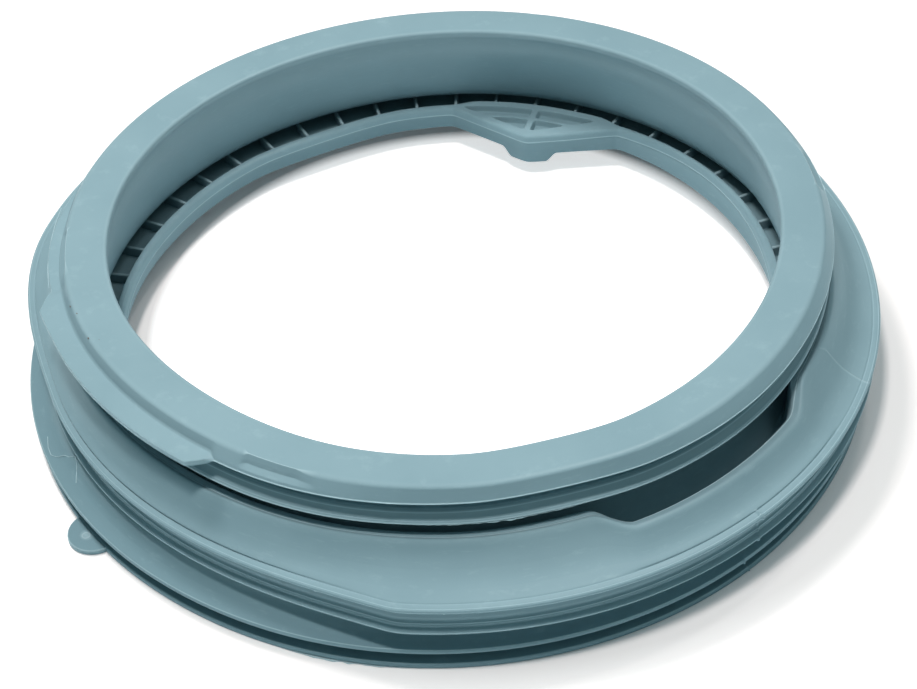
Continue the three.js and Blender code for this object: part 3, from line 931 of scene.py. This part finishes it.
# Each strip of flash: radius and height of its edge, first and last azimuth, and its reach
# outwards and upwards, in millimetres and degrees.
FLASH_STRIPS = (
    (172.3, 58.35, 262.0, 286.0, 0.15, -0.9),
    (172.9, 70.3, 258.4, 261.8, 0.6, 0.1),
    (181.9, 69.9, 198.0, 231.0, 0.35, -0.1),
    (177.5, 70.0, 170.0, 188.5, 0.3, -0.3),
    (174.0, 70.0, 0.5, 15.0, 0.4, 0.1),
    (195.9, 0.3, 247.0, 263.0, 0.9, -0.1),
)
RIM_FLAKES = (252.2, 267.3)
FLAKE_HALF = 0.35
FLAKE_HEIGHT = 36.9
FLASH_STEP = 0.16
FLASH_THICKNESS = 0.1
FLASH_EDGE_SHARE = 0.75


class SEAL_OT_flash(bpy.types.Operator):
    """Make the ragged flash on the flanges' edges, two flakes on the rim and a hair-thin line of it"""

    bl_idname = "seal.flash"
    bl_label = "Mould flash"

    def execute(self, context):
        sizes, arcs = seal_values(context.scene)
        noise = np.random.default_rng(11)
        pieces = []
        for radius, height, start, end, outwards, upwards in FLASH_STRIPS:
            pieces.append(flash_strip(radius, height, start, end, outwards, upwards, noise, arcs))
        for middle in RIM_FLAKES:
            edge = float(rim_radius_at(math.radians(middle), sizes, arcs))
            ends = middle - FLAKE_HALF, middle + FLAKE_HALF
            pieces.append(flash_strip(edge, FLAKE_HEIGHT, *ends, 0.3, -1.5, noise, arcs))
        pieces.append(hair_line())
        points = np.concatenate([places for places, quads in pieces])
        first = np.cumsum([0] + [len(places) for places, quads in pieces])
        faces = np.concatenate([quads + first[i] for i, (places, quads) in enumerate(pieces)])
        shares = np.full(len(points), FLASH_EDGE_SHARE)
        new_piece("mould_flash", points, faces, shares, smooth=False)
        return {"FINISHED"}


def flash_strip(radius, height, start, end, outwards, upwards, noise, arcs):
    """Points and quads of one thin strip with a ragged edge: a smoothed random share of its reach."""
    count = max(int((end - start) / FLASH_STEP), 5)
    azimuth = np.radians(np.linspace(start, end, count))
    ragged = np.convolve(noise.uniform(0.0, 1.0, count + 8), np.hanning(11)[1:-1] / 5.0, "valid")
    ragged = np.clip(2.6 * ragged - 0.8, 0.1, 1.0) * noise.uniform(0.8, 1.0, count)
    from_end = np.minimum(np.linspace(0, 1, count), np.linspace(1, 0, count))
    ragged = ragged * np.minimum(1.0, 4.0 * from_end)
    half = 0.07
    out, up = outwards * ragged, upwards * ragged
    zero = np.zeros(count)
    radii = [radius - half + zero, radius + half + zero, radius + half + out, radius - half + out]
    thick = height + FLASH_THICKNESS
    heights = [height + zero, thick + zero, thick + up, height + up]
    section = np.stack([np.stack(radii, axis=1), np.stack(heights, axis=1)], axis=-1)
    points = swept_points(section, azimuth, arcs).reshape(-1, 3)
    return points, grid_quads(count, 4, closed_rows=False)


HAIR = (
    (198.5, 193.0), (200.5, 194.4), (202.0, 194.5), (203.0, 192.0), (203.6, 189.5),
    (205.6, 186.4), (206.6, 186.6), (207.6, 188.6), (209.0, 191.0),
)
TIER_SLOPE = ((185.6, 19.9), (188.2, 15.7), (192.8, 12.9), (196.8, 12.2))


def hair_line():
    """Points and quads of a hair-thin line of flash that wanders over the third tier."""
    path = np.array(HAIR)
    share = np.linspace(0, len(path) - 1, 90)
    radius = np.interp(share, np.arange(len(path)), path[:, 1])
    azimuth = np.radians(np.interp(share, np.arange(len(path)), path[:, 0]))
    slope = np.array(TIER_SLOPE)
    height = np.interp(radius, slope[:, 0], slope[:, 1])
    centre = np.stack([radius * np.cos(azimuth), radius * np.sin(azimuth), height], axis=1)
    along = np.gradient(centre, axis=0)
    side = np.cross(along, [0.0, 0.0, 1.0])
    side = 0.16 * side / np.linalg.norm(side, axis=1, keepdims=True)
    over = np.array([0.0, 0.0, 0.14])
    points = np.stack([centre - side, centre - over, centre + side, centre + over], axis=1)
    return points.reshape(-1, 3), grid_quads(len(centre), 4, closed_rows=False)


# Each speck: the radius and azimuth of its place, and its size.
SPECKS = ((168.6, 198.2, 0.3), (170.4, 196.2, 0.25), (168.6, 204.2, 0.35), (164.9, 205.4, 0.2))
SPECK_FOOT = 76.2
SPECK_TOP = 76.98


class SEAL_OT_specks(bpy.types.Operator):
    """Make the few brown storage specks on the lip"""

    bl_idname = "seal.specks"
    bl_label = "Storage specks"

    def execute(self, context):
        shader = new_material("storage_speck")[2]
        shader.inputs["Base Color"].default_value = (*context.scene.seal_colours.speck, 1.0)
        shader.inputs["Roughness"].default_value = 0.8
        around = np.linspace(0, 2 * math.pi, 8, endpoint=False)
        points = []
        for radius, turn, size in SPECKS:
            x = radius * math.cos(math.radians(turn)) + size * np.cos(around)
            y = radius * math.sin(math.radians(turn)) + 0.7 * size * np.sin(around)
            for height in (SPECK_FOOT, SPECK_TOP):
                points.append(np.stack([x, y, np.full(8, height)], axis=1))
        top = np.array([[8, 9, 10, 11], [8, 11, 12, 15], [12, 13, 14, 15]])
        speck = np.concatenate([grid_quads(2, 8, closed_rows=False), top])
        faces = np.concatenate([speck + 16 * index for index in range(len(SPECKS))])
        new_piece("storage_specks", np.concatenate(points), faces, material="storage_speck")
        return {"FINISHED"}


# Each lamp: its name, place and width in metres, its power's name, and whether it mirrors.
LAMPS = (
    ("key_lamp", (-0.48, 0.40, 1.52), 0.35, "key_power", False),
    ("front_lamp", (-0.13, -0.36, 1.60), 0.18, "front_power", False),
    ("soft_box", (0.36, 0.27, 1.38), 0.12, "box_power", True),
    ("fill_lamp", (0.58, -0.04, 1.30), 0.45, "fill_power", False),
)
# Each painted pool of light on the floor, which whitens away part of the shadow: its centre and two
# radii in metres, and its strength at those radii.
FLOOR_PAINTED_LIGHTS = (
    ((0.0062, 0.0172, 0.0), (0.1450, 0.1525), (0.65, 0.06)),
    ((0.020, 0.008, 0.0), (0.205, 0.226), (0.0, 0.25)),
)
FLOOR_REACH = 6.0
BOUNCED_TONE = (0.70, 0.83, 0.87)
SEEN_TONE = (0.83, 0.79, 0.78)
LAMP_TONE = (1.0, 0.955, 0.935)


class SEAL_OT_stage(bpy.types.Operator):
    """Make the white floor, the lamps and the camera"""

    bl_idname = "seal.stage"
    bl_label = "Stage"

    def execute(self, context):
        scene = context.scene
        stage = scene.seal_stage
        add_floor()
        for name, place, width, power, mirrored in LAMPS:
            add_lamp(name, place, width, getattr(stage, power), mirrored)
        add_camera(scene, stage)
        add_world(scene, stage)
        scene.view_settings.view_transform = "Standard"
        return {"FINISHED"}


def add_world(scene, stage):
    """A world that is white to the camera, and lights the seal from a dim bluish dome overhead."""
    world = bpy.data.worlds.new("studio")
    world.use_nodes = True
    tree = world.node_tree
    background = tree.nodes["Background"]
    to_camera = add_node(tree, "LightPath", {}).outputs["Is Camera Ray"]
    direction = add_node(tree, "TexCoord", {}).outputs["Generated"]
    height = add_node(tree, "SeparateXYZ", {0: direction}).outputs["Z"]
    dome = ramp_between(tree, height, (0.1, 0.8), (0.2 * stage.sky, stage.sky))
    feed(tree, background.inputs["Strength"], maths(tree, "MAXIMUM", dome, to_camera))
    tone = mix_colour(tree, to_camera, stage.sky_tint, (1.0, 1.0, 1.0))
    feed(tree, background.inputs["Color"], tone)
    scene.world = world


def add_floor():
    """A wide matt floor under the seal, which takes its shadow.

    To the camera only, painted light lifts it towards white inside the mouth and past the base, a
    little away from the seal, and so whitens away part of its shadow there.
    """
    low = -0.05 * MM
    corners = [(-1, -1), (1, -1), (1, 1), (-1, 1)]
    points = [(FLOOR_REACH * x, FLOOR_REACH * y, low) for x, y in corners]
    mesh = bpy.data.meshes.new("studio_floor")
    mesh.from_pydata(points, [], [(0, 1, 2, 3)])
    floor = bpy.data.objects.new("studio_floor", mesh)
    bpy.context.scene.collection.objects.link(floor)
    material, tree, shader = new_material("studio_white")
    to_camera = add_node(tree, "LightPath", {}).outputs["Is Camera Ray"]
    tone = mix_colour(tree, to_camera, BOUNCED_TONE, SEEN_TONE)
    place = object_place(tree)
    total = 0.0
    # Painted light: camera-only emission that whitens the floor inside the mouth and past the base.
    for centre, radii, strengths in FLOOR_PAINTED_LIGHTS:
        away = add_node(tree, "VectorMath", {0: place, 1: centre}, operation="DISTANCE")
        painted_lift = ramp_between(tree, away.outputs["Value"], radii, strengths)
        total = maths(tree, "ADD", total, painted_lift)
    feed(tree, shader.inputs["Base Color"], tone)
    feed(tree, shader.inputs["Emission Strength"], maths(tree, "MULTIPLY", total, to_camera))
    shader.inputs["Emission Color"].default_value = (1.0, 1.0, 1.0, 1.0)
    shader.inputs["Roughness"].default_value = 1.0
    shader.inputs["Specular IOR Level"].default_value = 0.0
    mesh.materials.append(material)


def add_lamp(name, place, width, power, mirrored):
    """A square, slightly warm lamp that faces the origin. The rubber mirrors it if mirrored."""
    lamp = bpy.data.lights.new(name, "AREA")
    lamp.energy = power
    lamp.size = width
    lamp.color = LAMP_TONE
    lamp_object = bpy.data.objects.new(name, lamp)
    x, y, z = place
    lamp_object.location = place
    tilt = math.atan2(math.hypot(x, y), z)
    lamp_object.rotation_euler = (tilt, 0.0, math.atan2(y, x) + math.pi / 2)
    lamp_object.visible_glossy = mirrored
    bpy.context.scene.collection.objects.link(lamp_object)


def add_camera(scene, stage):
    """The camera, on the front side at its elevation, turned by its roll about its own axis."""
    lens = bpy.data.cameras.new("camera")
    lens.sensor_fit = "HORIZONTAL"
    lens.sensor_width = 36.0
    lens.lens = stage.lens
    lens.clip_end = 50.0
    camera = bpy.data.objects.new("camera", lens)
    back = np.array([0.0, -math.cos(stage.elevation), math.sin(stage.elevation)])
    up = np.array([0.0, math.sin(stage.elevation), math.cos(stage.elevation)])
    right = np.array([1.0, 0.0, 0.0])
    cos, sin = math.cos(stage.roll), math.sin(stage.roll)
    across = cos * right + sin * up
    upward = cos * up - sin * right
    eye = stage.target_x * right + stage.target_y * up + stage.distance * back
    matrix = np.eye(4)
    matrix[:3] = np.stack([across, upward, back, eye], axis=1)
    camera.matrix_world = Matrix(matrix.tolist())
    scene.collection.objects.link(camera)
    scene.camera = camera


class SEAL_PT_panel(bpy.types.Panel):
    """Sidebar panel of the door seal"""

    bl_label = "Door Seal"
    bl_idname = "SEAL_PT_panel"
    bl_space_type = "VIEW_3D"
    bl_region_type = "UI"
    bl_category = "Door Seal"

    def draw(self, context):
        for operator in OPERATORS:
            self.layout.operator(operator.bl_idname)


OPERATORS = (
    SEAL_OT_body,
    SEAL_OT_water_ring,
    SEAL_OT_ribs,
    SEAL_OT_lug,
    SEAL_OT_flash,
    SEAL_OT_specks,
    SEAL_OT_stage,
)
GROUPS = {
    "seal_sizes": DoorSealSizes,
    "seal_arcs": DoorSealArcs,
    "seal_colours": DoorSealColours,
    "seal_stage": DoorSealStage,
}


def register():
    for group in GROUPS.values():
        for name, entry in group.__annotations__.items():
            entry.keywords["name"] = name.replace("_", " ").capitalize()
        bpy.utils.register_class(group)
    for name, group in GROUPS.items():
        setattr(bpy.types.Scene, name, PointerProperty(type=group))
    for operator in OPERATORS:
        bpy.utils.register_class(operator)
    bpy.utils.register_class(SEAL_PT_panel)


def unregister():
    bpy.utils.unregister_class(SEAL_PT_panel)
    for operator in reversed(OPERATORS):
        bpy.utils.unregister_class(operator)
    for name, group in reversed(GROUPS.items()):
        delattr(bpy.types.Scene, name)
        bpy.utils.unregister_class(group)


def main():
    register()
    bpy.ops.seal.body()
    bpy.ops.seal.water_ring()
    bpy.ops.seal.ribs()
    bpy.ops.seal.lug()
    bpy.ops.seal.flash()
    bpy.ops.seal.specks()
    bpy.ops.seal.stage()


if __name__ == "__main__":
    main()
